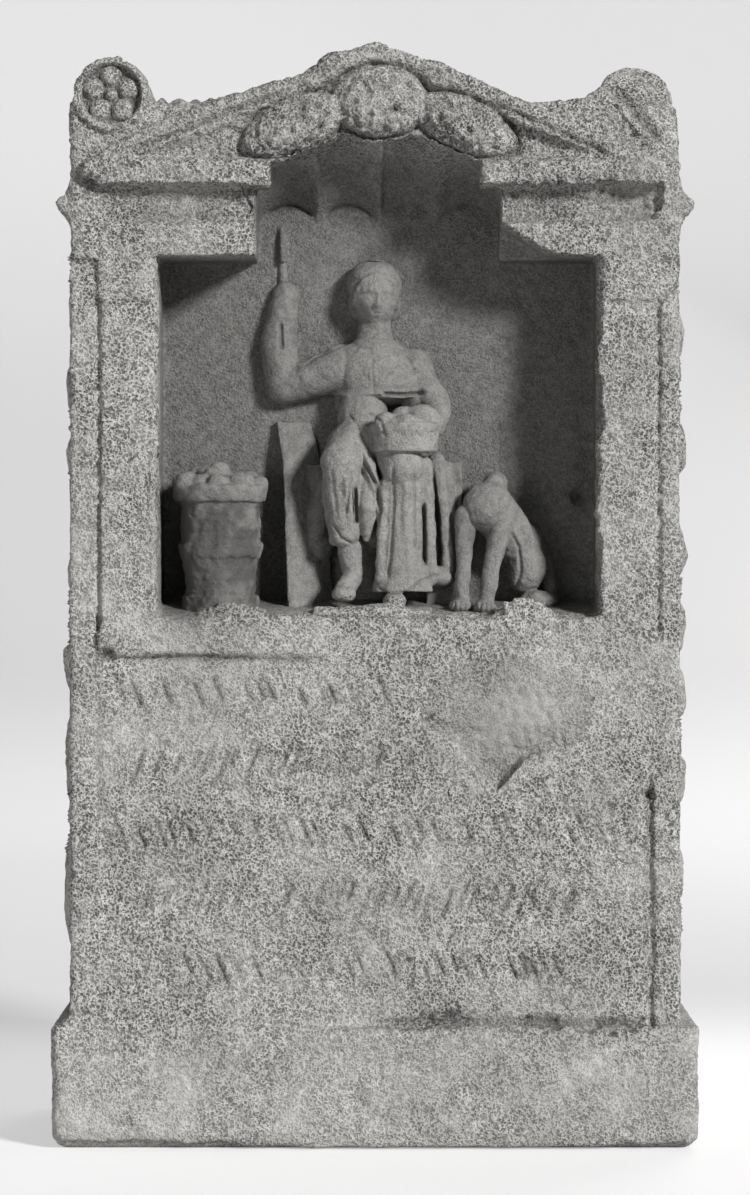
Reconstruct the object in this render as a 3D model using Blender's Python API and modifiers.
"""Votive altar with a framed niche: one block of porous limestone, worn and chipped.

The altar stands on its plinth with its front towards -Y. The origin is at the middle of the underside.
All sizes are in metres. The block is cut first, and what stands out of it is joined on afterwards.
"""

import math

import bmesh
import bpy
from mathutils import Euler, Matrix, Vector

# Block and plinth
BODY_WIDTH = 0.471
BODY_DEPTH = 0.224
PLINTH_REACH = 0.0135
PLINTH_HEIGHT = 0.095
PLINTH_CORNER = 0.010
BODY_CORNER = 0.004

# Pediment and shoulders, above the eaves
PEDIMENT_RISE = 0.092
SHOULDER_RISE = 0.046
EAVES_INSET = 0.011
RAKING_BAND = 0.016
CORNICE_REACH = 0.008
CORNICE_HEIGHT = 0.019
TYMPANUM_RECESS = 0.004
GABLE_SETBACK = 0.006
MASS_REACH = 0.013
MASS_BULGE = 0.0145
MIDDLE_MASS_DROP = 0.0475
SIDE_MASS_RISE = 0.028

# Side cornices
SIDE_CORNICE_REACH = 0.012
SIDE_CORNICE_HEIGHT = 0.034
SIDE_CORNICE_DROP = 0.032

# Niche and frame
NICHE_WIDTH = 0.340
NICHE_HEIGHT = 0.279
NICHE_DEPTH = 0.080
NICHE_SHIFT = 0.0025
NICHE_FLOOR_RISE = 0.014
NICHE_ARRIS = 0.008
UPPER_OPENING_WIDTH = 0.190
UPPER_OPENING_CORNER = 0.020
ARCHITRAVE_HEIGHT = 0.027
FRIEZE_HEIGHT = 0.027
FRIEZE_RECESS = 0.0045
PILASTER_WIDTH = 0.036
PILASTER_RECESS = 0.0035
CAPITAL_HEIGHT = 0.034
OUTER_STRIP_RECESS = 0.0045
GROOVE_WIDTH = 0.004
GROOVE_DEPTH = 0.004

# Canopy over the niche
CANOPY_FRONT_DEPTH = 0.018
CANOPY_DROP = 0.070
CANOPY_CROWN = 0.005
SCALLOP_RISE = 0.007
FLUTE_COUNT = 4
FLUTE_RISE = 0.013
FLUTE_STEPS = 8
CEILING_STEPS = 6

# Inscription panel
PANEL_HEIGHT = 0.283
SILL_HEIGHT = 0.030
PANEL_SIDE_MARGIN = 0.025
PANEL_RECESS = 0.0055
PANEL_GROOVE_HEIGHT = 0.190
SCAR_DEPTH = 0.009

# Bolsters
BOLSTER_RADIUS = 0.0292
BOLSTER_RISE = 0.0055
BOLSTER_INSET = 0.003
BOLSTER_REACH = 0.004
ROSETTE_FIELD_RADIUS = 0.0250
ROSETTE_FIELD_DEPTH = 0.007
PETAL_COUNT = 5
PETAL_RADIUS = 0.0094
EYE_RADIUS = 0.0046
GAP_ROUND_EYE = 0.0018
BREAK_DEPTH = 0.030

# Breaks in the entablature
BROKEN_CORNER_WIDTH = 0.072
BROKEN_CORNER_DEPTH = 0.046
FLAKED_PATCH_WIDTH = 0.0415
FLAKED_PATCH_HEIGHT = 0.029
FLAKED_PATCH_DEPTH = 0.008

# Carvings: their heights, and the heights in millimetres that they are drawn at below
GODDESS_HEIGHT = 0.280
BASKET_HEIGHT = 0.122
DOG_HEIGHT = 0.106
GODDESS_DRAWN = 280
BASKET_DRAWN = 107
DOG_DRAWN = 106
PLANT_DRAWN = 633
LEAF_RELIEF = 0.0075

# Making
OVERLAP = 0.002
REACH_OUT = 0.060
CLAY_VOXEL = 0.0021
FIGURE_TRIANGLES = 4700
LEAF_TRIANGLES = 300

HALF_WIDTH = BODY_WIDTH / 2
FRONT = -BODY_DEPTH / 2
BACK = BODY_DEPTH / 2
PLINTH_WIDTH = BODY_WIDTH + 2 * PLINTH_REACH
PLINTH_DEPTH = BODY_DEPTH + 2 * PLINTH_REACH
EAVES_HALF_WIDTH = HALF_WIDTH - EAVES_INSET
WALL = FRONT + NICHE_DEPTH

# Heights, stacked from the plinth to the apex
PANEL_TOP = PLINTH_HEIGHT + PANEL_HEIGHT
NICHE_FLOOR_HEIGHT = PANEL_TOP + SILL_HEIGHT
NICHE_CEILING_HEIGHT = NICHE_FLOOR_HEIGHT + NICHE_HEIGHT
ARCHITRAVE_TOP = NICHE_CEILING_HEIGHT + ARCHITRAVE_HEIGHT
CORNICE_UNDERSIDE = ARCHITRAVE_TOP + FRIEZE_HEIGHT
EAVES_HEIGHT = CORNICE_UNDERSIDE + CORNICE_HEIGHT
APEX_HEIGHT = EAVES_HEIGHT + PEDIMENT_RISE
SHOULDER_HEIGHT = EAVES_HEIGHT + SHOULDER_RISE
SIDE_CORNICE_TIP_HEIGHT = EAVES_HEIGHT - SIDE_CORNICE_DROP
BOLSTER_HEIGHT = SHOULDER_HEIGHT + BOLSTER_RISE
BOLSTER_CENTRE_X = HALF_WIDTH - BOLSTER_RADIUS - BOLSTER_INSET


def clear_scene():
    for item in list(bpy.data.objects):
        bpy.data.objects.remove(item, do_unlink=True)


def new_collection(name):
    collection = bpy.data.collections.new(name)
    bpy.context.scene.collection.children.link(collection)
    return collection


clear_scene()
ALTAR = new_collection("votive_altar")
HELPERS = new_collection("cutters")


def limestone():
    material = bpy.data.materials.new("limestone")
    material.use_nodes = True
    shader = material.node_tree.nodes["Principled BSDF"]
    shader.inputs["Base Color"].default_value = (0.45, 0.44, 0.42, 1)
    shader.inputs["Roughness"].default_value = 0.92
    shader.inputs["Metallic"].default_value = 0
    return material


def object_from(mesh_builder, name, collection=None):
    """Makes an object from a bmesh. Helpers are drawn as wires and stay out of renders."""
    mesh = bpy.data.meshes.new(name)
    bmesh.ops.recalc_face_normals(mesh_builder, faces=mesh_builder.faces)
    mesh_builder.to_mesh(mesh)
    mesh_builder.free()
    made = bpy.data.objects.new(name, mesh)
    (collection or HELPERS).objects.link(made)
    if collection is None:
        made.hide_render = True
        made.display_type = "WIRE"
    return made


def evaluated_mesh(item):
    bpy.context.view_layer.update()
    graph = bpy.context.evaluated_depsgraph_get()
    return bpy.data.meshes.new_from_object(item.evaluated_get(graph))


def combine(target, other, operation):
    modifier = target.modifiers.new(f"{operation.lower()} {other.name}", "BOOLEAN")
    modifier.operation = operation
    modifier.solver = "EXACT"
    modifier.object = other


def join(target, other):
    combine(target, other, "UNION")


def cut(target, other):
    combine(target, other, "DIFFERENCE")


def box_mesh(low, high):
    low, high = Vector(low), Vector(high)
    mesh = bmesh.new()
    size = Matrix.Diagonal((*(high - low), 1))
    bmesh.ops.create_cube(mesh, size=1, matrix=Matrix.Translation((low + high) / 2) @ size)
    return mesh


def box(name, low, high):
    return object_from(box_mesh(low, high), name)


def along(axis, edge):
    """Whether an edge runs along one axis, given as 0, 1 or 2."""
    step = (edge.verts[1].co - edge.verts[0].co).normalized()
    return abs(step[axis]) > 0.99


def worn_box(name, low, high, wear, collection=None):
    """A box whose edges are rounded: wear gives the radius of the edges along X, Y and Z."""
    mesh = box_mesh(low, high)
    for axis in (2, 0, 1):
        edges = [edge for edge in mesh.edges if along(axis, edge)]
        if wear[axis] > 0:
            bmesh.ops.bevel(mesh, geom=edges, offset=wear[axis], segments=2, profile=0.5, affect="EDGES")
    return object_from(mesh, name, collection)


def outline_mesh(outline, thickness):
    """A flat outline in X and Z as a 2D curve, made solid along Y and centred there."""
    curve = bpy.data.curves.new("outline", "CURVE")
    curve.dimensions = "2D"
    curve.fill_mode = "BOTH"
    curve.extrude = thickness / 2
    spline = curve.splines.new("POLY")
    spline.points.add(len(outline) - 1)
    for point, (x, z) in zip(spline.points, outline):
        point.co = (x, z, 0, 1)
    spline.use_cyclic_u = True
    drawn = bpy.data.objects.new("outline", curve)
    HELPERS.objects.link(drawn)
    flat = evaluated_mesh(drawn)
    mesh = bmesh.new()
    mesh.from_mesh(flat)
    bmesh.ops.remove_doubles(mesh, verts=mesh.verts, dist=1e-5)
    bmesh.ops.transform(mesh, matrix=Matrix.Rotation(math.pi / 2, 4, "X"), verts=mesh.verts)
    bpy.data.objects.remove(drawn)
    bpy.data.meshes.remove(flat)
    return mesh


def slab(name, outline, front, back, bevel=0):
    """A slab with the given outline in X and Z, from y = front to y = back."""
    mesh = outline_mesh(outline, back - front)
    bmesh.ops.translate(mesh, vec=(0, (front + back) / 2, 0), verts=mesh.verts)
    made = object_from(mesh, name)
    if bevel:
        rounding = made.modifiers.new("worn edges", "BEVEL")
        rounding.width = bevel
        rounding.segments = 2
        rounding.angle_limit = math.radians(40)
        rounding.use_clamp_overlap = True
    return made


def swing(name, outline, left, right):
    """A prism that runs along X, with an outline in Y and Z."""
    mesh = outline_mesh(outline, right - left)
    bmesh.ops.transform(mesh, matrix=Matrix.Rotation(math.pi / 2, 4, "Z"), verts=mesh.verts)
    bmesh.ops.translate(mesh, vec=((left + right) / 2, 0, 0), verts=mesh.verts)
    return object_from(mesh, name)


def arc(centre, radius, start, end, count):
    """Points on a circle from one angle to another, in degrees."""
    turns = [math.radians(start + (end - start) * i / count) for i in range(count + 1)]
    return [(centre[0] + radius * math.cos(t), centre[1] + radius * math.sin(t)) for t in turns]


def rod(name, centre, radius, front, back, sides=32):
    """A round bar along Y."""
    mesh = bmesh.new()
    lying = Matrix.Rotation(math.pi / 2, 4, "X")
    place = Matrix.Translation((centre[0], (front + back) / 2, centre[1])) @ lying
    bmesh.ops.create_cone(
        mesh,
        cap_ends=True,
        segments=sides,
        radius1=radius,
        radius2=radius,
        depth=back - front,
        matrix=place,
    )
    return object_from(mesh, name)


def lump(name, centre, radii, turn=0, wobble=0.0, detail=3):
    """A worn knob: an ellipsoid turned about Y by an angle in degrees, with a slow wobble in its radius."""
    mesh = bmesh.new()
    bmesh.ops.create_icosphere(mesh, subdivisions=detail, radius=1)
    for vert in mesh.verts:
        x, y, z = vert.co
        swell = math.sin(3.1 * x + 1.7) * math.cos(2.3 * z - 0.6) + math.sin(4.3 * z + 2.9 * y)
        vert.co *= 1 + wobble * swell
    place = Matrix.Translation(centre) @ Matrix.Rotation(math.radians(turn), 4, "Y")
    bmesh.ops.transform(mesh, matrix=place @ Matrix.Diagonal((*radii, 1)), verts=mesh.verts)
    return object_from(mesh, name)


class Clay:
    """Overlapping balls, limbs and ridges that become one worn carving.

    Its frame is in millimetres as carved: u to the right, v up and w out of the stone behind it.
    """

    def __init__(self, origin, scale, out=(0, -1, 0), right=(1, 0, 0)):
        self.mesh = bmesh.new()
        self.origin = Vector(origin)
        self.scale = scale
        self.out = Vector(out)
        self.right = Vector(right)

    def point(self, place):
        u, v, w = place
        return self.origin + (self.right * u + Vector((0, 0, v)) + self.out * w) * self.scale

    def frame(self):
        """The matrix that turns the carving's own axes into the altar's."""
        columns = (self.right, -self.out, Vector((0, 0, 1)))
        return Matrix([[column[row] for column in columns] for row in range(3)]).to_4x4()

    def ball(self, centre, radii, turn=0):
        """An ellipsoid with radii along u, w and v, turned about w by an angle in degrees."""
        along_u, along_w, along_v = (radius * self.scale for radius in radii)
        size = Matrix.Diagonal((along_u, along_w, along_v, 1))
        tilt = Matrix.Rotation(math.radians(turn), 4, "Y")
        place = Matrix.Translation(self.point(centre)) @ self.frame() @ tilt @ size
        bmesh.ops.create_uvsphere(self.mesh, u_segments=20, v_segments=12, radius=1, matrix=place)

    def limb(self, start, end, start_radius, end_radius):
        first, last = self.point(start), self.point(end)
        axis = last - first
        turn = axis.to_track_quat("Z", "Y").to_matrix().to_4x4()
        bmesh.ops.create_cone(
            self.mesh,
            cap_ends=True,
            segments=18,
            radius1=start_radius * self.scale,
            radius2=end_radius * self.scale,
            depth=axis.length,
            matrix=Matrix.Translation((first + last) / 2) @ turn,
        )
        self.ball(start, (start_radius,) * 3)
        self.ball(end, (end_radius,) * 3)

    def ridge(self, places, radii):
        """A rounded fold through the places, with a radius at each."""
        steps = zip(places, places[1:], radii, radii[1:])
        for start, end, start_radius, end_radius in steps:
            self.limb(start, end, start_radius, end_radius)

    def block(self, low, high, lean=0):
        """A box between two corners (u, v, w), leaning about w by an angle in degrees."""
        middle = [(a + b) / 2 for a, b in zip(low, high)]
        wide, tall, deep = (abs(b - a) * self.scale for a, b in zip(low, high))
        tilt = Matrix.Rotation(math.radians(lean), 4, "Y")
        size = Matrix.Diagonal((wide, deep, tall, 1))
        bmesh.ops.create_cube(
            self.mesh, size=1, matrix=Matrix.Translation(self.point(middle)) @ self.frame() @ tilt @ size
        )

    def wedge(self, foot, tip, thickness, foot_reach, tip_reach):
        """A thin upright plate, which stands out of the wall further at its foot than at its tip."""
        corners = []
        for (u, v), reach in ((foot, foot_reach), (tip, tip_reach)):
            corners += [(u + hand * thickness / 2, v, w) for w in (-4, reach) for hand in (-1, 1)]
        made = [self.mesh.verts.new(self.point(corner)) for corner in corners]
        bmesh.ops.convex_hull(self.mesh, input=made)

    def drum(self, foot, height, foot_radii, top_radii):
        """A tapered drum that stands on v, with radii along u and w at its foot and at its top."""
        mean = [(a + b) / 2 for a, b in zip(foot_radii, top_radii)]
        flat = mean[1] / mean[0]
        size = Matrix.Diagonal((self.scale, self.scale * flat, self.scale, 1))
        middle = (foot[0], foot[1] + height / 2, foot[2])
        bmesh.ops.create_cone(
            self.mesh,
            cap_ends=True,
            segments=32,
            radius1=foot_radii[0],
            radius2=top_radii[0],
            depth=height,
            matrix=Matrix.Translation(self.point(middle)) @ self.frame() @ size,
        )

    def carve(self, name, triangles, plane, sunk=0.0025, smoothing=3):
        """Fuses the shapes, softens them, drops what lies behind the plane and thins the mesh."""
        rough = object_from(self.mesh, name)
        fuse = rough.modifiers.new("fuse", "REMESH")
        fuse.mode = "VOXEL"
        fuse.voxel_size = CLAY_VOXEL
        soften = rough.modifiers.new("soften", "SMOOTH")
        soften.factor = 0.5
        soften.iterations = smoothing
        fused = bmesh.new()
        solid = evaluated_mesh(rough)
        fused.from_mesh(solid)
        bpy.data.objects.remove(rough)
        bpy.data.meshes.remove(solid)
        kept = bmesh.ops.bisect_plane(
            fused,
            geom=fused.verts[:] + fused.edges[:] + fused.faces[:],
            dist=1e-6,
            plane_co=Vector(plane) - self.out * sunk,
            plane_no=-self.out,
            clear_outer=True,
        )
        rim = [item for item in kept["geom_cut"] if isinstance(item, bmesh.types.BMEdge)]
        bmesh.ops.holes_fill(fused, edges=rim)
        bmesh.ops.triangulate(fused, faces=fused.faces)
        before = len(fused.faces)
        carved = object_from(fused, name)
        thin = carved.modifiers.new("thin", "DECIMATE")
        thin.ratio = min(1.0, triangles / before)
        return carved


def slope(side, share, bulge=0.0):
    """A point on the pediment's slope: share runs from 0 at the eaves to 1 at the apex."""
    x = side * EAVES_HALF_WIDTH * (1 - share)
    return (x, EAVES_HEIGHT + PEDIMENT_RISE * share + bulge)


# How the weathered top leaves a straight slope: a share of the way to the apex and a height
LEFT_WEAR = (
    (0.0, 0.0),
    (0.25, 0.0072),
    (0.48, 0.0060),
    (0.61, 0.0034),
    (0.76, -0.0018),
    (0.84, 0.0028),
    (0.92, 0.0030),
)
RIGHT_WEAR = ((0.93, 0.0010), (0.73, 0.0030), (0.65, 0.0042), (0.46, 0.0006), (0.0, 0.0))


def gable_top(lowered=0.0):
    """The weathered top of the pediment, from the left eaves over the apex to the right eaves."""
    left = [slope(-1, share, bulge - lowered) for share, bulge in LEFT_WEAR]
    right = [slope(1, share, bulge - lowered) for share, bulge in RIGHT_WEAR]
    return left + [slope(1, 1, -lowered)] + right


def build_block():
    """The plinth, the body, the gable's roof and the side cornices."""
    half_plinth = PLINTH_WIDTH / 2
    block = worn_box(
        "votive_altar",
        (-half_plinth, -PLINTH_DEPTH / 2, 0),
        (half_plinth, PLINTH_DEPTH / 2, PLINTH_HEIGHT),
        (0.003, 0.003, PLINTH_CORNER),
        ALTAR,
    )
    body = worn_box(
        "body",
        (-HALF_WIDTH, FRONT, PLINTH_HEIGHT - 4 * OVERLAP),
        (HALF_WIDTH, BACK, SHOULDER_HEIGHT),
        (0, 0, BODY_CORNER),
    )
    join(block, body)
    roof_foot = SHOULDER_HEIGHT - 5 * OVERLAP
    roof = [point for point in gable_top(GABLE_SETBACK / 2) if point[1] > roof_foot + OVERLAP]
    roof = [(roof[0][0], roof_foot)] + roof + [(roof[-1][0], roof_foot)]
    join(block, slab("roof", roof, FRONT + GABLE_SETBACK, BACK - GABLE_SETBACK))
    for side, name in ((-1, "left"), (1, "right")):
        join(block, side_cornice(side, f"{name} side cornice"))
    return block


def side_cornice(side, name):
    """A moulding with a rounded nose that runs along one side of the body."""
    nose = SIDE_CORNICE_REACH * 0.35
    face = side * (HALF_WIDTH - 2 * OVERLAP)
    edge = side * HALF_WIDTH
    tip = side * (HALF_WIDTH + SIDE_CORNICE_REACH - nose)
    top = SIDE_CORNICE_TIP_HEIGHT + SIDE_CORNICE_HEIGHT * 0.42
    foot = SIDE_CORNICE_TIP_HEIGHT - SIDE_CORNICE_HEIGHT * 0.58
    turns = (100, -20) if side > 0 else (80, 200)
    rounded = arc((tip, SIDE_CORNICE_TIP_HEIGHT), nose, *turns, 5)
    hollow = (edge + side * 0.3 * SIDE_CORNICE_REACH, SIDE_CORNICE_TIP_HEIGHT - SIDE_CORNICE_HEIGHT * 0.3)
    outline = [(face, top), (edge, top)] + rounded + [hollow, (edge, foot), (face, foot)]
    return slab(name, outline, FRONT + OVERLAP, BACK - OVERLAP)


def cut_niche(block):
    """The main opening, with worn side edges and a floor that rises to the wall."""
    half = NICHE_WIDTH / 2
    plan = [(half, WALL), (half, FRONT + NICHE_ARRIS)]
    plan += arc((half + NICHE_ARRIS, FRONT + NICHE_ARRIS), NICHE_ARRIS, 180, 270, 3)[1:]
    plan += [(half + NICHE_ARRIS, FRONT - REACH_OUT)]
    plan += [(-x, y) for x, y in reversed(plan)]
    mesh = outline_mesh(plan, NICHE_HEIGHT)
    turn = Matrix.Rotation(-math.pi / 2, 4, "X")
    bmesh.ops.transform(mesh, matrix=turn, verts=mesh.verts)
    middle = NICHE_FLOOR_HEIGHT + NICHE_HEIGHT / 2
    bmesh.ops.translate(mesh, vec=(NICHE_SHIFT, 0, middle), verts=mesh.verts)
    for vert in mesh.verts:
        if vert.co.z < middle:
            vert.co.z += NICHE_FLOOR_RISE * (vert.co.y - FRONT) / NICHE_DEPTH
    cut(block, object_from(mesh, "niche"))


def mouth_height(across):
    """The height of the opening's arch, from across = -1 at its left end to 1 at its right end."""
    top = APEX_HEIGHT - CANOPY_DROP
    places = ((0.0, top), (0.32, top), (0.85, EAVES_HEIGHT), (1.0, EAVES_HEIGHT - UPPER_OPENING_CORNER))
    for (near, high), (far, low) in zip(places, places[1:]):
        if abs(across) <= far:
            return high + (low - high) * (abs(across) - near) / (far - near)
    return places[-1][1]


def ceiling(across, back):
    """A point of the canopy's ceiling, from back = 0 at the opening to 1 at the wall of the niche."""
    x = NICHE_SHIFT + across * UPPER_OPENING_WIDTH / 2
    y = FRONT + CANOPY_FRONT_DEPTH + back * (WALL - FRONT - CANOPY_FRONT_DEPTH)
    straight = mouth_height(across) * (1 - back) + (ARCHITRAVE_TOP + SCALLOP_RISE) * back
    crown = CANOPY_CROWN * 4 * back * (1 - back)
    flute = (across + 1) * FLUTE_COUNT / 2 % 1
    hollow = FLUTE_RISE * 4 * flute * (1 - flute) * back * (1.5 - 0.5 * back)
    return (x, y, straight + crown + hollow)


def cut_canopy(block):
    """The opening between the entablature blocks, under a ceiling of flutes that fan out to the wall."""
    columns = FLUTE_COUNT * FLUTE_STEPS
    rows = CEILING_STEPS + 1
    mesh = bmesh.new()
    tops = []
    feet = []
    for row in range(-1, rows):
        for column in range(columns + 1):
            x, y, z = ceiling(2 * column / columns - 1, max(row, 0) / CEILING_STEPS)
            y = FRONT - REACH_OUT if row < 0 else y
            tops.append(mesh.verts.new((x, y, z)))
            feet.append(mesh.verts.new((x, y, NICHE_CEILING_HEIGHT - 4 * OVERLAP)))
    wide = columns + 1
    for row in range(rows):
        for column in range(columns):
            a = row * wide + column
            b, c, d = a + 1, a + wide + 1, a + wide
            mesh.faces.new([tops[i] for i in (a, b, c, d)])
            mesh.faces.new([feet[i] for i in (d, c, b, a)])
            if row == 0:
                mesh.faces.new((tops[a], feet[a], feet[b], tops[b]))
            if row == rows - 1:
                mesh.faces.new((tops[d], tops[c], feet[c], feet[d]))
        for a in (row * wide, row * wide + columns):
            mesh.faces.new((tops[a], tops[a + wide], feet[a + wide], feet[a]))
    cut(block, object_from(mesh, "canopy"))


def sink(block, name, ends, heights, depth):
    """Sinks a rectangle of the front. Its ends along X may come in either order."""
    left, right = sorted(ends)
    foot, top = heights
    cut(block, box(name, (left, FRONT - REACH_OUT, foot), (right, FRONT + depth, top)))


def cut_frame(block):
    """The shallow steps of the pilasters, the frieze and the outer strips."""
    shaft_heights = (NICHE_FLOOR_HEIGHT + 0.004, NICHE_CEILING_HEIGHT - CAPITAL_HEIGHT)
    strip_heights = (PANEL_TOP + 0.003, NICHE_CEILING_HEIGHT - 0.002)
    groove_heights = (PANEL_TOP + 0.020, NICHE_CEILING_HEIGHT - CAPITAL_HEIGHT + OVERLAP)
    frieze_heights = (ARCHITRAVE_TOP, CORNICE_UNDERSIDE + OVERLAP)
    for side, name in ((-1, "left"), (1, "right")):
        inner = NICHE_SHIFT + side * (NICHE_WIDTH / 2 + NICHE_ARRIS)
        outer = inner + side * PILASTER_WIDTH
        edge = side * (HALF_WIDTH + REACH_OUT)
        shaft_ends = (inner - side * 0.5 * NICHE_ARRIS, outer)
        sink(block, f"{name} shaft", shaft_ends, shaft_heights, PILASTER_RECESS)
        strip_ends = (outer + side * 0.5 * GROOVE_WIDTH, edge)
        sink(block, f"{name} strip", strip_ends, strip_heights, OUTER_STRIP_RECESS)
        groove_ends = (outer, outer + side * GROOVE_WIDTH)
        sink(block, f"{name} groove", groove_ends, groove_heights, OUTER_STRIP_RECESS + GROOVE_DEPTH)
        frieze_ends = (side * (HALF_WIDTH - 0.020), NICHE_SHIFT + side * (UPPER_OPENING_WIDTH / 2 - OVERLAP))
        sink(block, f"{name} frieze", frieze_ends, frieze_heights, FRIEZE_RECESS)


def round_bolster(places):
    """Points in X and Z round the right bolster, from places given in shares of its radius."""
    return [(BOLSTER_CENTRE_X + BOLSTER_RADIUS * u, BOLSTER_HEIGHT + BOLSTER_RADIUS * v) for u, v in places]


def cut_breaks(block):
    """The broken corner of the right architrave and a flaked patch beside it."""
    near = FRONT - REACH_OUT
    inner = NICHE_SHIFT + UPPER_OPENING_WIDTH / 2 - OVERLAP
    foot = NICHE_CEILING_HEIGHT - OVERLAP
    corner = [(inner, ARCHITRAVE_TOP - 0.001), (inner + 0.51 * BROKEN_CORNER_WIDTH, foot + 0.005)]
    corner += [(inner + BROKEN_CORNER_WIDTH, foot), (inner, foot)]
    cut(block, slab("broken architrave", corner, near, FRONT + BROKEN_CORNER_DEPTH))
    left = EAVES_HALF_WIDTH - 0.0445
    shares = [(0, 0), (0.07, 0.72), (0.24, 1), (1, 0.98), (0.98, 0.24), (0.48, 0.05)]
    patch = [
        (left + FLAKED_PATCH_WIDTH * u, ARCHITRAVE_TOP + 0.001 + FLAKED_PATCH_HEIGHT * v) for u, v in shares
    ]
    cut(block, slab("flaked patch", patch, near, FRONT + FLAKED_PATCH_DEPTH))


def cut_shoulder(block):
    """The lost front of the right shoulder: a break that runs deeper away from its ridge."""
    ridge_top = (-0.87, 0.24)
    ridge = [(-0.87, 0.63), ridge_top, (-0.11, -0.79), (0.38, -1.27), (0.78, -1.76)]
    ridge += [(1.94, -1.76), (1.94, 0.63)]
    mesh = outline_mesh(round_bolster(ridge), REACH_OUT)
    bmesh.ops.translate(mesh, vec=(0, FRONT - REACH_OUT / 2, 0), verts=mesh.verts)
    start = round_bolster([ridge_top])[0]
    for vert in mesh.verts:
        if vert.co.y > FRONT - OVERLAP:
            away = max(0.0, (vert.co.x - start[0]) * 0.75 + (vert.co.z - start[1]) * 0.55)
            vert.co.y = FRONT + 0.004 + 0.9 * away
    cut(block, object_from(mesh, "broken shoulder"))


def cut_panel(block):
    """The inscription field: sunk under the sill at the left and worn level at the right."""
    left = -HALF_WIDTH + PANEL_SIDE_MARGIN
    right = HALF_WIDTH - PANEL_SIDE_MARGIN
    foot = PLINTH_HEIGHT - OVERLAP
    near = FRONT - REACH_OUT
    mesh = box_mesh((left, near, foot), (right * 0.2, FRONT + PANEL_RECESS, PANEL_TOP))
    for vert in mesh.verts:
        if vert.co.x > left + OVERLAP and vert.co.y > FRONT:
            vert.co.y = FRONT - 0.0008
        elif vert.co.z < PANEL_TOP - OVERLAP and vert.co.y > FRONT:
            vert.co.y = FRONT - 0.0004
    cut(block, object_from(mesh, "panel"))
    groove_heights = (foot, foot + PANEL_GROOVE_HEIGHT)
    sink(block, "panel groove", (right, right + GROOVE_WIDTH), groove_heights, GROOVE_DEPTH)


def cut_scar(block):
    """The flaked scar in the upper right of the inscription: a tilted dish with a jagged foot."""
    across = BODY_WIDTH
    rim = [(0.070, -0.077), (0.079, -0.108), (0.137, -0.141), (0.164, -0.180), (0.204, -0.217)]
    rim += [(0.243, -0.168), (0.271, -0.154), (0.313, -0.150), (0.346, -0.129), (0.356, -0.070)]
    rim += [(0.323, -0.018), (0.208, 0.003), (0.110, -0.018)]
    outline = [(across * share, PANEL_TOP + across * rise) for share, rise in rim]
    mesh = outline_mesh(outline, REACH_OUT)
    bmesh.ops.translate(mesh, vec=(0, FRONT - REACH_OUT / 2 + SCAR_DEPTH, 0), verts=mesh.verts)
    top = max(z for _, z in outline)
    foot = min(z for _, z in outline)
    right = max(x for x, _ in outline)
    left = min(x for x, _ in outline)
    for vert in mesh.verts:
        if vert.co.y > FRONT:
            fall = min(1, 1.5 * (top - vert.co.z) / (top - foot))
            fade = min(1, 0.1 + 2.5 * (right - vert.co.x) / (right - left))
            vert.co.y = FRONT - OVERLAP + (SCAR_DEPTH + OVERLAP) * fall * fade
    cut(block, object_from(mesh, "scar"))


def join_pediment(block):
    """The raking bands, the level cornices and the three worn masses under the apex."""
    front = FRONT - CORNICE_REACH
    top = gable_top()
    under = [(x * 0.93, z - RAKING_BAND * 1.15) for x, z in reversed(top[1:-1])]
    inner_eaves = EAVES_HALF_WIDTH * 0.86
    eaves_foot = EAVES_HEIGHT - OVERLAP
    outline = top + [(inner_eaves, eaves_foot)] + under + [(-inner_eaves, eaves_foot)]
    join(block, slab("raking cornice", outline, front, FRONT + 0.020, 0.004))
    face = gable_top(RAKING_BAND * 0.6)
    half = UPPER_OPENING_WIDTH / 2
    arch_top = APEX_HEIGHT - CANOPY_DROP
    below = EAVES_HEIGHT - 0.75 * OVERLAP
    field = face + [(NICHE_SHIFT + 0.83 * half, below), (NICHE_SHIFT + 0.33 * half, arch_top - OVERLAP)]
    field += [(NICHE_SHIFT - 0.28 * half, arch_top - OVERLAP), (NICHE_SHIFT - 0.81 * half, below)]
    join(block, slab("tympanum", field, front + TYMPANUM_RECESS, FRONT + 0.015))
    inner = {-1: NICHE_SHIFT - 0.0835, 1: NICHE_SHIFT + 0.0785}
    for side, name in ((-1, "left"), (1, "right")):
        ends = sorted((inner[side], side * EAVES_HALF_WIDTH))
        cornice = worn_box(
            f"{name} cornice",
            (ends[0], front - 0.002, CORNICE_UNDERSIDE),
            (ends[1], FRONT + 0.030, EAVES_HEIGHT + 0.001),
            (0.005, 0.004, 0.004),
        )
        join(block, cornice)
    middle = FRONT - MASS_REACH + MASS_BULGE * 1.08
    side_bulge = MASS_BULGE * 0.95
    side_height = EAVES_HEIGHT + SIDE_MASS_RISE
    centre = (0.0035, middle, APEX_HEIGHT - MIDDLE_MASS_DROP)
    radii = (0.435 * PEDIMENT_RISE, MASS_BULGE, 0.325 * PEDIMENT_RISE)
    join(block, lump("middle mass", centre, radii, 0, 0.04))
    for name, x, reach, lean in (("left mass", -0.270, 0.53, -22), ("right mass", 0.31, 0.50, 24)):
        centre = (x * EAVES_HALF_WIDTH, middle, side_height)
        radii = (reach * PEDIMENT_RISE, side_bulge, 0.235 * PEDIMENT_RISE)
        join(block, lump(name, centre, radii, lean, 0.04))


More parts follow.
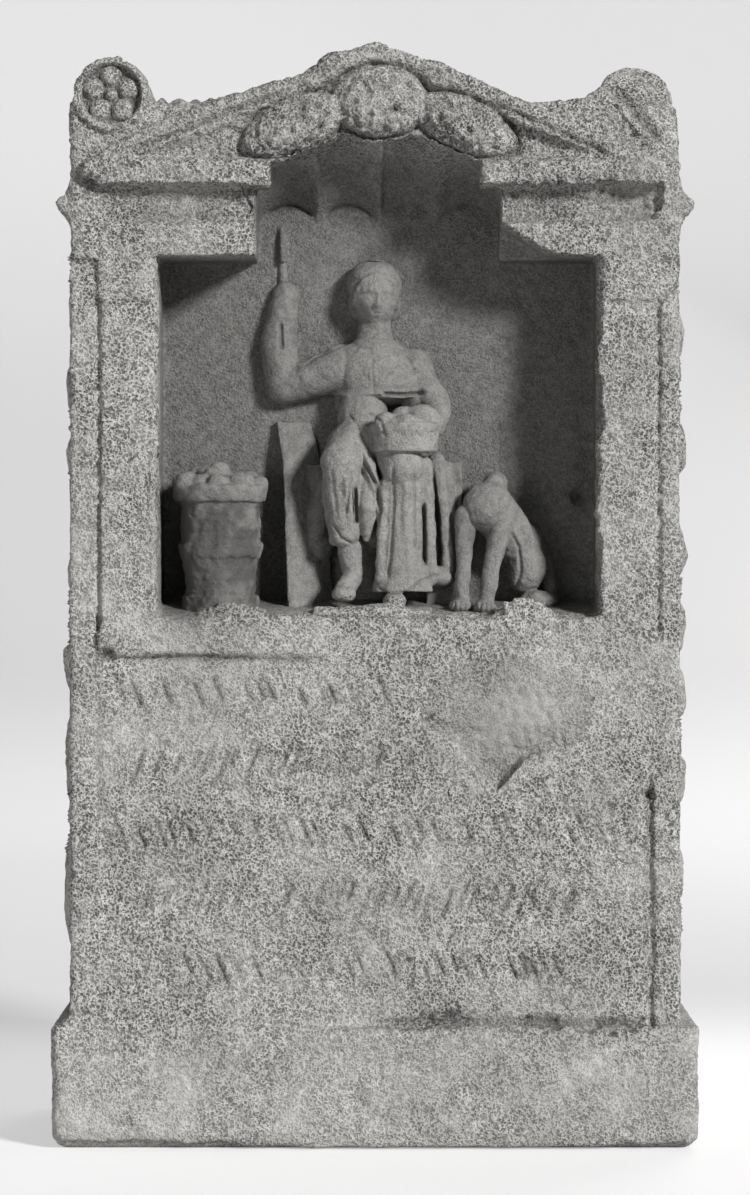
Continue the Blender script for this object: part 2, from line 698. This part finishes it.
def join_left_bolster(block):
    """The whole bolster, with a rosette sunk in its end."""
    centre = (-BOLSTER_CENTRE_X, BOLSTER_HEIGHT)
    face = FRONT - BOLSTER_REACH
    bolster = rod("left bolster", centre, BOLSTER_RADIUS, face, BACK + BOLSTER_REACH)
    field = rod("rosette field", centre, ROSETTE_FIELD_RADIUS, face - REACH_OUT, face + ROSETTE_FIELD_DEPTH)
    cut(bolster, field)
    floor = face + ROSETTE_FIELD_DEPTH
    for index in range(PETAL_COUNT):
        turn = math.radians(-126 + 360 * index / PETAL_COUNT)
        reach = EYE_RADIUS + GAP_ROUND_EYE + PETAL_RADIUS
        place = (centre[0] + reach * math.cos(turn), floor, centre[1] + reach * math.sin(turn))
        radii = (PETAL_RADIUS, ROSETTE_FIELD_DEPTH * 0.92, PETAL_RADIUS * 0.96)
        join(bolster, lump(f"petal {index + 1}", place, radii, detail=2))
    eye = (EYE_RADIUS, ROSETTE_FIELD_DEPTH * 0.9, EYE_RADIUS)
    join(bolster, lump("rosette eye", (centre[0], floor, centre[1]), eye, detail=2))
    join(block, bolster)


def join_right_bolster(block):
    """The stump of the broken right bolster, and the crest of stone that is left beside it."""
    centre = (BOLSTER_CENTRE_X, BOLSTER_HEIGHT)
    stump = rod("right bolster", centre, BOLSTER_RADIUS, FRONT + BREAK_DEPTH, BACK + BOLSTER_REACH)
    half = BOLSTER_RADIUS * Vector((2.05, 1.71, 1.37))
    broken = box_mesh(-half, half)
    middle = Vector((centre[0], FRONT + BREAK_DEPTH, centre[1])) + BOLSTER_RADIUS * Vector((0, -0.685, 1.575))
    lean = Euler((-0.75, 0.30, 0)).to_matrix().to_4x4()
    bmesh.ops.transform(broken, matrix=Matrix.Translation(middle) @ lean, verts=broken.verts)
    cut(stump, object_from(broken, "break"))
    join(block, stump)
    crest = [(-2.95, -0.60), (-2.41, -0.16), (-1.38, -0.03), (-1.00, 0.27), (-0.85, 0.17), (-0.50, -0.60)]
    behind = FRONT + BREAK_DEPTH + 0.010
    join(block, slab("right shoulder", round_bolster(crest), FRONT + 0.001, behind, 0.004))


def carve_goddess():
    """The seated goddess with the fruit basket in her lap, on her throne, and the upright slab beside her."""
    clay = Clay((NICHE_SHIFT, WALL, NICHE_FLOOR_HEIGHT), GODDESS_HEIGHT / GODDESS_DRAWN)
    carve_head(clay)
    carve_torso(clay)
    carve_legs(clay)
    carve_lap_basket(clay)
    carve_throne(clay)
    carve_slab(clay)
    return clay


def carve_head(clay):
    clay.ball((-3, 253, 17), (18.5, 21, 24.5))
    clay.ball((-3, 262, 14), (21.5, 20, 20))
    clay.ball((-15, 246, 9), (9, 9, 17))
    clay.ball((11, 246, 9), (9, 9, 17))
    clay.limb((-2, 253, 36), (-2, 247, 38), 2.2, 3.0)
    clay.ball((-3, 236, 34), (7, 5, 5))
    clay.limb((-3, 232, 13), (-3, 210, 13), 11.5, 15)


def carve_torso(clay):
    clay.ball((-4, 192, 13), (33, 20, 25))
    clay.limb((-30, 202, 12), (30, 198, 12), 13, 13)
    clay.ball((5, 184, 14), (38, 20, 17))
    clay.ball((27, 182, 12), (18, 16, 16))
    clay.drum((3, 174, 9), 32, (39, 25), (17, 12))
    clay.ridge([(-30, 184, 17), (-12, 178, 27), (8, 175, 30), (24, 176, 27), (39, 178, 18)], (4, 4, 4, 4, 4))
    clay.ridge([(-4, 206, 24), (-4, 190, 31), (-3, 176, 29)], (4, 4, 3))
    clay.ridge([(-24, 206, 20), (-26, 192, 22), (-24, 178, 20)], (5, 5, 4))
    clay.ball((-12, 156, 18), (20, 18, 29))
    clay.limb((-30, 195, 14), (-74, 182, 12), 18, 14)
    clay.limb((-74, 182, 12), (-79, 212, 12), 14, 13)
    clay.limb((-79, 212, 12), (-75, 248, 11), 13, 8.5)
    clay.ball((-75, 257, 11), (8.5, 8, 10.5))
    clay.limb((-75, 257, 5), (-76, 308, 2.5), 4, 3)
    clay.ball((-29, 168, 5), (6, 6, 8))
    clay.ridge([(30, 190, 14), (46, 166, 22), (44, 150, 34)], (13, 11, 9))


def carve_legs(clay):
    clay.ball((-2, 138, 22), (38, 24, 20))
    clay.limb((-18, 138, 24), (-29, 121, 46), 19, 16)
    clay.limb((10, 138, 24), (19, 117, 48), 19, 17)
    clay.limb((-29, 119, 46), (-26, 66, 40), 15.5, 12)
    clay.limb((-24, 70, 36), (-19, 34, 32), 9.5, 8.5)
    clay.ball((-25, 21, 42), (8.5, 14, 8))
    clay.limb((19, 115, 47), (18, 34, 40), 17, 16)
    clay.ball((18, 26, 36), (25, 15, 11))
    clay.ball((13, 14, 50), (8.5, 12, 7))
    clay.ball((-4, 92, 22), (20, 16, 38))
    clay.ridge([(-14, 134, 42), (-5, 112, 48), (-1, 92, 46)], (5, 5, 4.5))
    clay.ridge([(-12, 110, 43), (-8, 86, 46), (-9, 62, 42)], (4, 7.5, 3.5))
    clay.ridge([(-40, 110, 42), (-39, 84, 40), (-34, 60, 38)], (4, 4, 4))
    clay.ridge([(-24, 106, 59), (-22, 84, 54), (-22, 62, 48)], (3.5, 3.5, 3))
    clay.ridge([(6, 108, 56), (3, 70, 53), (2, 28, 46)], (4, 4.5, 4.5))
    clay.ridge([(22, 104, 63), (21, 66, 57), (25, 26, 50)], (3.5, 4, 4.5))
    clay.ridge([(35, 118, 40), (38, 80, 38), (40, 30, 34)], (8, 6.5, 6.5))
    clay.ridge([(46, 122, 24), (52, 80, 26), (55, 36, 26)], (7, 5.5, 5.5))
    clay.ball((46, 32, 26), (15, 13, 8), 14)


def carve_lap_basket(clay):
    clay.drum((23, 128, 43), 23, (23, 18), (26, 20))
    clay.drum((23, 145, 43), 6, (28, 22), (28, 22))
    fruit = [(9, 156, 50, 10), (36, 160, 44, 13), (23, 163, 38, 10), (23, 153, 57, 9), (47, 156, 36, 8)]
    for u, v, w, radius in fruit:
        clay.ball((u, v, w), (radius,) * 3)


def carve_throne(clay):
    clay.block((38, -8, -4), (66, 122, 20))
    clay.block((-60, 52, -4), (-38, 122, 22))
    clay.ball((-47, 54, 10), (13, 12, 14))
    clay.block((-52, -10, 0), (44, 10, 66))
    clay.ball((-6, 4, 60), (46, 12, 10))


def carve_slab(clay):
    """The thin upright slab, which stands further out at its foot."""
    clay.wedge((-67, -10), (-72, 118), 9, 36, 20)
    clay.wedge((-72, 117), (-78, 154), 7, 20, 7)


def carve_basket(clay):
    """The tall basket, heaped with fruit, at the left of the niche."""
    clay.drum((0, -6, 30), 12, (27, 26), (27, 26))
    clay.drum((0, -2, 30), 84, (23, 23), (32, 31))
    clay.drum((0, 30, 30), 12, (29, 28), (31, 30))
    clay.drum((0, 74, 30), 8, (36, 34), (37, 35))
    for index in range(9):
        turn = 2.4 * index
        reach = 7.2 * math.sqrt(index)
        place = (reach * math.cos(turn), 96 - 0.9 * reach, 30 + 0.9 * reach * math.sin(turn))
        clay.ball(place, (11, 11, 10))


def carve_dog(clay):
    """The sitting dog with its head broken off, turned half to the left."""
    clay.ball((0, 79, 30), (20, 18, 20))
    clay.limb((3, 78, 26), (28, 46, 16), 19, 17)
    clay.limb((1, 84, 28), (6, 98, 22), 13, 10)
    clay.ball((31, 32, 20), (16, 15, 20), 12)
    clay.ball((40, 6, 24), (15, 12, 8))
    clay.ridge([(-18, 72, 32), (-19, 34, 36), (-20, 6, 40)], (8.5, 6, 6))
    clay.ridge([(11, 66, 36), (3, 34, 42), (-1, 6, 46)], (9.5, 6.5, 6))
    clay.ball((-22, 2, 45), (9, 11, 6))
    clay.ball((-3, 1, 51), (9, 11, 6))
    clay.ridge([(34, 56, 8), (46, 30, 8), (50, 12, 10)], (10, 8, 6))


def carve_rubble(clay):
    """Broken stubs on the front edge of the niche floor."""
    clay.ball((-119, 4, 71), (24, 9, 12))
    clay.ball((-110, 8, 71), (12, 8, 10))
    clay.ball((112, 4, 71), (21, 9, 12))
    clay.ball((117, 12, 71), (9, 7, 12), -20)


def join_carvings(block):
    goddess = carve_goddess()
    carve_rubble(goddess)
    join(block, goddess.carve("goddess", round(FIGURE_TRIANGLES * 0.64), (0, WALL, 0)))
    basket_foot = (NICHE_SHIFT - 0.364 * NICHE_WIDTH, WALL, NICHE_FLOOR_HEIGHT + 0.010)
    basket = Clay(basket_foot, BASKET_HEIGHT / BASKET_DRAWN)
    carve_basket(basket)
    join(block, basket.carve("basket", round(FIGURE_TRIANGLES * 0.17), (0, WALL, 0)))
    dog_foot = (NICHE_SHIFT + 0.253 * NICHE_WIDTH, WALL, NICHE_FLOOR_HEIGHT + 0.007)
    dog = Clay(dog_foot, DOG_HEIGHT / DOG_DRAWN)
    carve_dog(dog)
    join(block, dog.carve("dog", round(FIGURE_TRIANGLES * 0.19), (0, WALL, 0)))


def carve_plant(side, name, leaves):
    """A leafy plant in low relief on one side of the body. Each pair of leaves has a height and a relief."""
    origin = (side * HALF_WIDTH, 0, PLINTH_HEIGHT)
    scale = (SIDE_CORNICE_TIP_HEIGHT - PLINTH_HEIGHT) / PLANT_DRAWN
    clay = Clay(origin, scale, out=(side, 0, 0), right=(0, side, 0))
    relief = LEAF_RELIEF / scale
    foot = 6
    top = PLANT_DRAWN - 60
    clay.ridge([(0, foot, 0), (6, (foot + top) / 2, 0), (0, top, 0)], (6, 5, 4))
    if side < 0:
        clay.ball((0, 97, 0), (62, relief * 1.6, 58))
    for index, (height, reach) in enumerate(leaves):
        lean = 32 if index % 2 else -32
        apart = 36 + 6 * (index % 3)
        for hand in (-1, 1):
            centre = (hand * apart, height + 8 * hand, 0)
            clay.ball(centre, (34, relief * reach, 19), hand * lean)
    return clay.carve(name, LEAF_TRIANGLES, origin, 0.002, 4)


def join_plants(block):
    left = [(173, 0.6), (210, 0.8), (263, 0.85), (345, 0.5), (425, 0.5), (487, 0.5), (539, 0.5)]
    right = [(55, 0.5), (121, 0.6), (192, 0.8), (262, 1.0), (312, 0.75), (375, 0.9), (452, 1.0), (545, 0.6)]
    join(block, carve_plant(-1, "left plant", left))
    join(block, carve_plant(1, "right plant", right))


def build_altar():
    altar = build_block()
    cut_niche(altar)
    cut_canopy(altar)
    cut_frame(altar)
    cut_breaks(altar)
    cut_shoulder(altar)
    cut_panel(altar)
    cut_scar(altar)
    join_pediment(altar)
    join_left_bolster(altar)
    join_right_bolster(altar)
    join_carvings(altar)
    join_plants(altar)
    altar.data.materials.append(limestone())
    return altar


build_altar()
